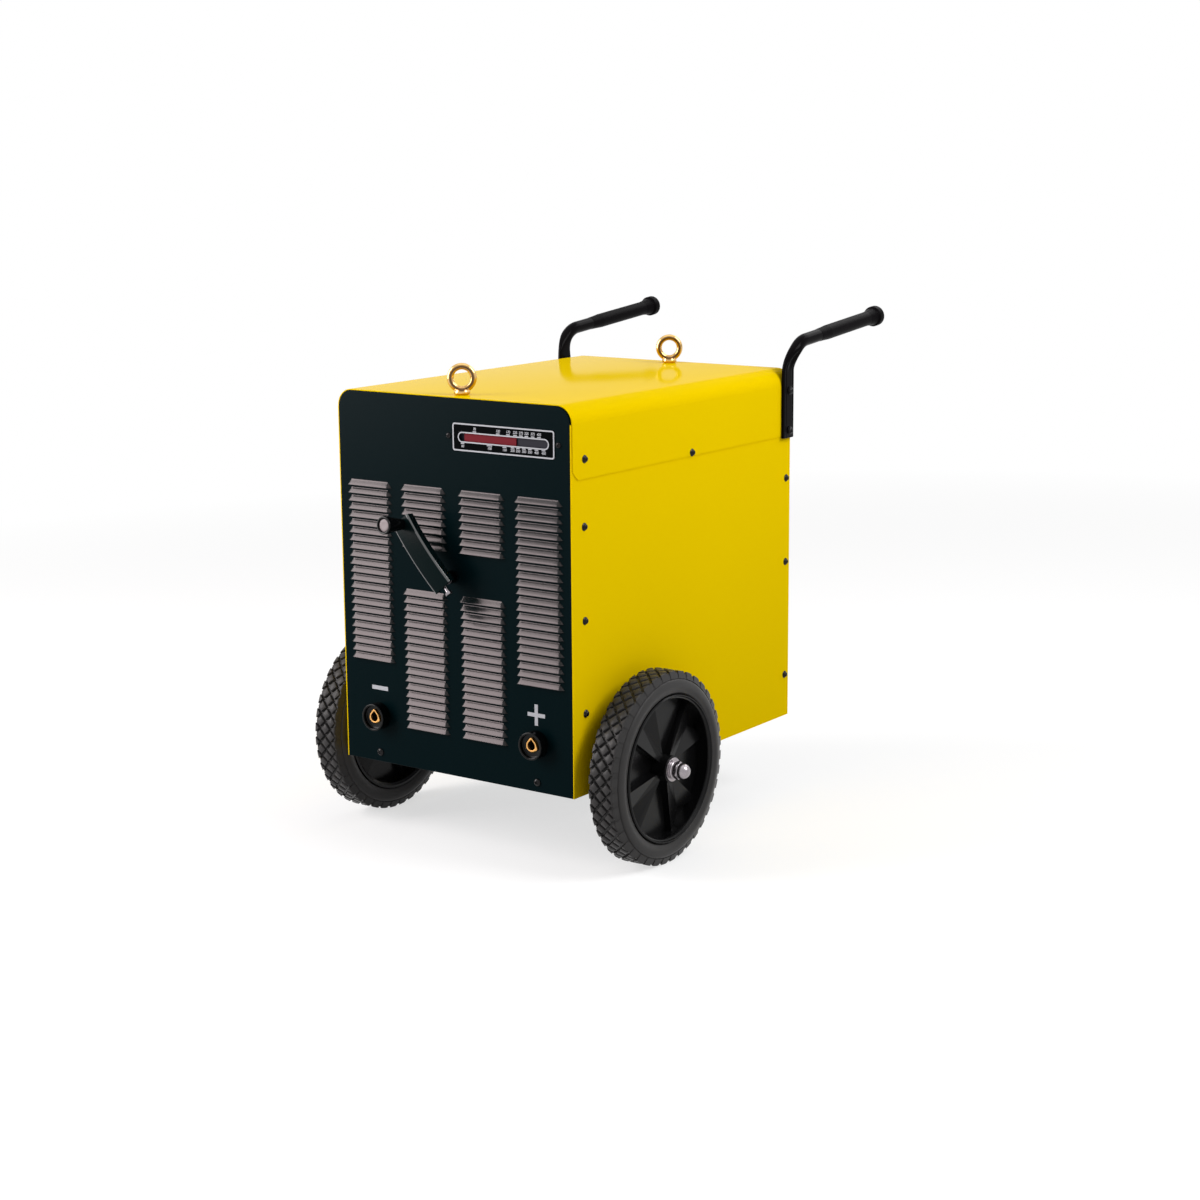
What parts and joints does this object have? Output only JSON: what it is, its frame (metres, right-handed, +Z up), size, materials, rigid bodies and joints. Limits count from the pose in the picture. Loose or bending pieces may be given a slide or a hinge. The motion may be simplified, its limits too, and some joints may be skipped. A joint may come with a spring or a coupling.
{
  "type": "arc welding power source",
  "caption": "Wheeled manual arc-welding rectifier in a louvred sheet-metal casing, with a hand crank that sets the current, push handles, lifting eyes and a rear stand.",
  "frame": {"origin": "middle of the bounding box on the ground, under the casing", "axes": "+Z up, the louvred front faces -Y, the handles point to +Y, +X is to the right as seen from the front"},
  "size_m": [0.662, 0.9678, 0.7994],
  "materials": {
    "casing_yellow": "gloss powder coat",
    "panel_dark": "semi-gloss powder coat",
    "handle_black": "semi-gloss powder coat",
    "grip_rubber": "matt moulded rubber",
    "tyre_rubber": "matt moulded rubber",
    "rim_plastic": "moulded plastic",
    "zinc": "bright zinc plate",
    "yellow_zinc": "yellow passivated zinc",
    "black_screw": "black oxide",
    "crank_paint": "semi-gloss powder coat",
    "knob_black": "moulded plastic",
    "socket_black": "moulded insulating plastic",
    "socket_brass": "turned brass",
    "scale_black": "printed plate",
    "indicator_red": "plain red strip",
    "indicator_grey": "brushed grey",
    "steel": "plain steel",
    "core_steel": "varnished laminations",
    "winding": "varnished winding",
    "aluminium": "extruded",
    "copper": "bare copper bar",
    "inner_plastic": "moulded plastic",
    "cord": "braided cord",
    "pulley_plastic": "moulded nylon",
    "gland_plastic": "moulded nylon",
    "switch_red": "moulded plastic"
  },
  "bodies": {
    "casing": {"front_panel": "panel_dark", "top_cover": "casing_yellow", "side_panel_left": "casing_yellow", "side_panel_right": "casing_yellow", "rear_panel": "panel_dark", "base_plate": "steel", "lifting_beam": "steel", "lifting_eye_bolts": "yellow_zinc", "panel_screws": "black_screw", "handle_bolts": "zinc", "handle_tube_left": "handle_black", "handle_tube_right": "handle_black", "grip_left": "grip_rubber", "grip_right": "grip_rubber", "axle": "zinc", "axle_brackets": "steel", "axle_nuts": "zinc", "rear_stand": "handle_black", "stand_feet": "grip_rubber", "drive_frame": "steel", "screw_end_bearing": "steel", "guide_rods": "steel", "scale_plate": "scale_black", "indicator_bracket": "indicator_grey", "indicator_rail": "steel", "indicator_cord": "cord", "transformer_core": "core_steel", "core_clamps": "steel", "primary_coils": "winding", "secondary_coils": "winding", "output_choke": "winding", "rectifier_heat_sinks": "aluminium", "rectifier_diodes": "zinc", "fan_shroud": "inner_plastic", "fan_motor": "steel", "mains_switch": "inner_plastic", "cable_gland": "gland_plastic", "socket_collar_minus": "socket_black", "socket_collar_plus": "socket_black", "socket_insert_minus": "socket_brass", "socket_insert_plus": "socket_brass", "busbars": "copper"},
    "wheel_left": {"tyre_left": "tyre_rubber", "rim_left": "rim_plastic", "wheel_bearing_left": "zinc"},
    "wheel_right": {"tyre_right": "tyre_rubber", "rim_right": "rim_plastic", "wheel_bearing_right": "zinc"},
    "crank": {"crank_arm": "crank_paint", "crank_screws": "zinc", "lead_screw": "steel"},
    "crank_grip": {"crank_knob": "knob_black"},
    "shunt": {"shunt_carriage": "steel", "shunt_cores": "core_steel"},
    "indicator": {"indicator_slide": "indicator_red"},
    "pulley_front": {"cord_pulley_front": "pulley_plastic"},
    "pulley_far": {"cord_pulley_far": "pulley_plastic"},
    "pulley_rear": {"cord_pulley_rear": "pulley_plastic"},
    "fan": {"fan_blades": "inner_plastic"},
    "switch_knob": {"mains_switch_knob": "switch_red"}
  },
  "joints": [
    {"name": "wheel_left_spin", "type": "hinge", "parent": "casing", "child": "wheel_left", "pos_m": [-0.2715, -0.25601, 0.15], "axis": [1, 0, 0], "continuous": true},
    {"name": "wheel_right_spin", "type": "hinge", "parent": "casing", "child": "wheel_right", "pos_m": [0.2715, -0.25601, 0.15], "axis": [1, 0, 0], "continuous": true},
    {"name": "crank_turn", "type": "hinge", "parent": "casing", "child": "crank", "pos_m": [0, -0.40401, 0.4405], "axis": [0, 1, 0], "range_deg": [-5760, 3420]},
    {"name": "crank_grip_spin", "type": "hinge", "parent": "crank", "child": "crank_grip", "pos_m": [-0.06713, -0.44257, 0.51994], "axis": [-0.0796, -0.9924, 0.0942], "continuous": true},
    {"name": "shunt_travel", "type": "slide", "parent": "casing", "child": "shunt", "axis": [0, -1, 0], "range_m": [-0.0961, 0.0571]},
    {"name": "indicator_travel", "type": "slide", "parent": "casing", "child": "indicator", "axis": [1, 0, 0], "range_m": [-0.0961, 0.0571]},
    {"name": "pulley_front_spin", "type": "hinge", "parent": "casing", "child": "pulley_front", "pos_m": [-0.05, -0.37301, 0.638], "axis": [0, 0, 1], "range_deg": [-459, 273]},
    {"name": "pulley_far_spin", "type": "hinge", "parent": "casing", "child": "pulley_far", "pos_m": [0.178, -0.37301, 0.638], "axis": [0, 0, 1], "range_deg": [-459, 273]},
    {"name": "pulley_rear_spin", "type": "hinge", "parent": "casing", "child": "pulley_rear", "pos_m": [-0.05, -0.13601, 0.638], "axis": [0, 0, 1], "range_deg": [-459, 273]},
    {"name": "fan_spin", "type": "hinge", "parent": "casing", "child": "fan", "pos_m": [0, 0.18199, 0.456], "axis": [0, 1, 0], "continuous": true},
    {"name": "mains_switch_turn", "type": "hinge", "parent": "casing", "child": "switch_knob", "pos_m": [0.15, 0.21999, 0.646], "axis": [0, 1, 0], "range_deg": [0, 90]}
  ],
  "couplings": [
    {"joint": "shunt_travel", "follows": "crank_turn", "m_per_rad": 0.00095493},
    {"joint": "indicator_travel", "follows": "crank_turn", "m_per_rad": 0.00095493},
    {"joint": "pulley_front_spin", "follows": "crank_turn", "ratio": 0.079577},
    {"joint": "pulley_far_spin", "follows": "crank_turn", "ratio": 0.079577},
    {"joint": "pulley_rear_spin", "follows": "crank_turn", "ratio": 0.079577}
  ]
}
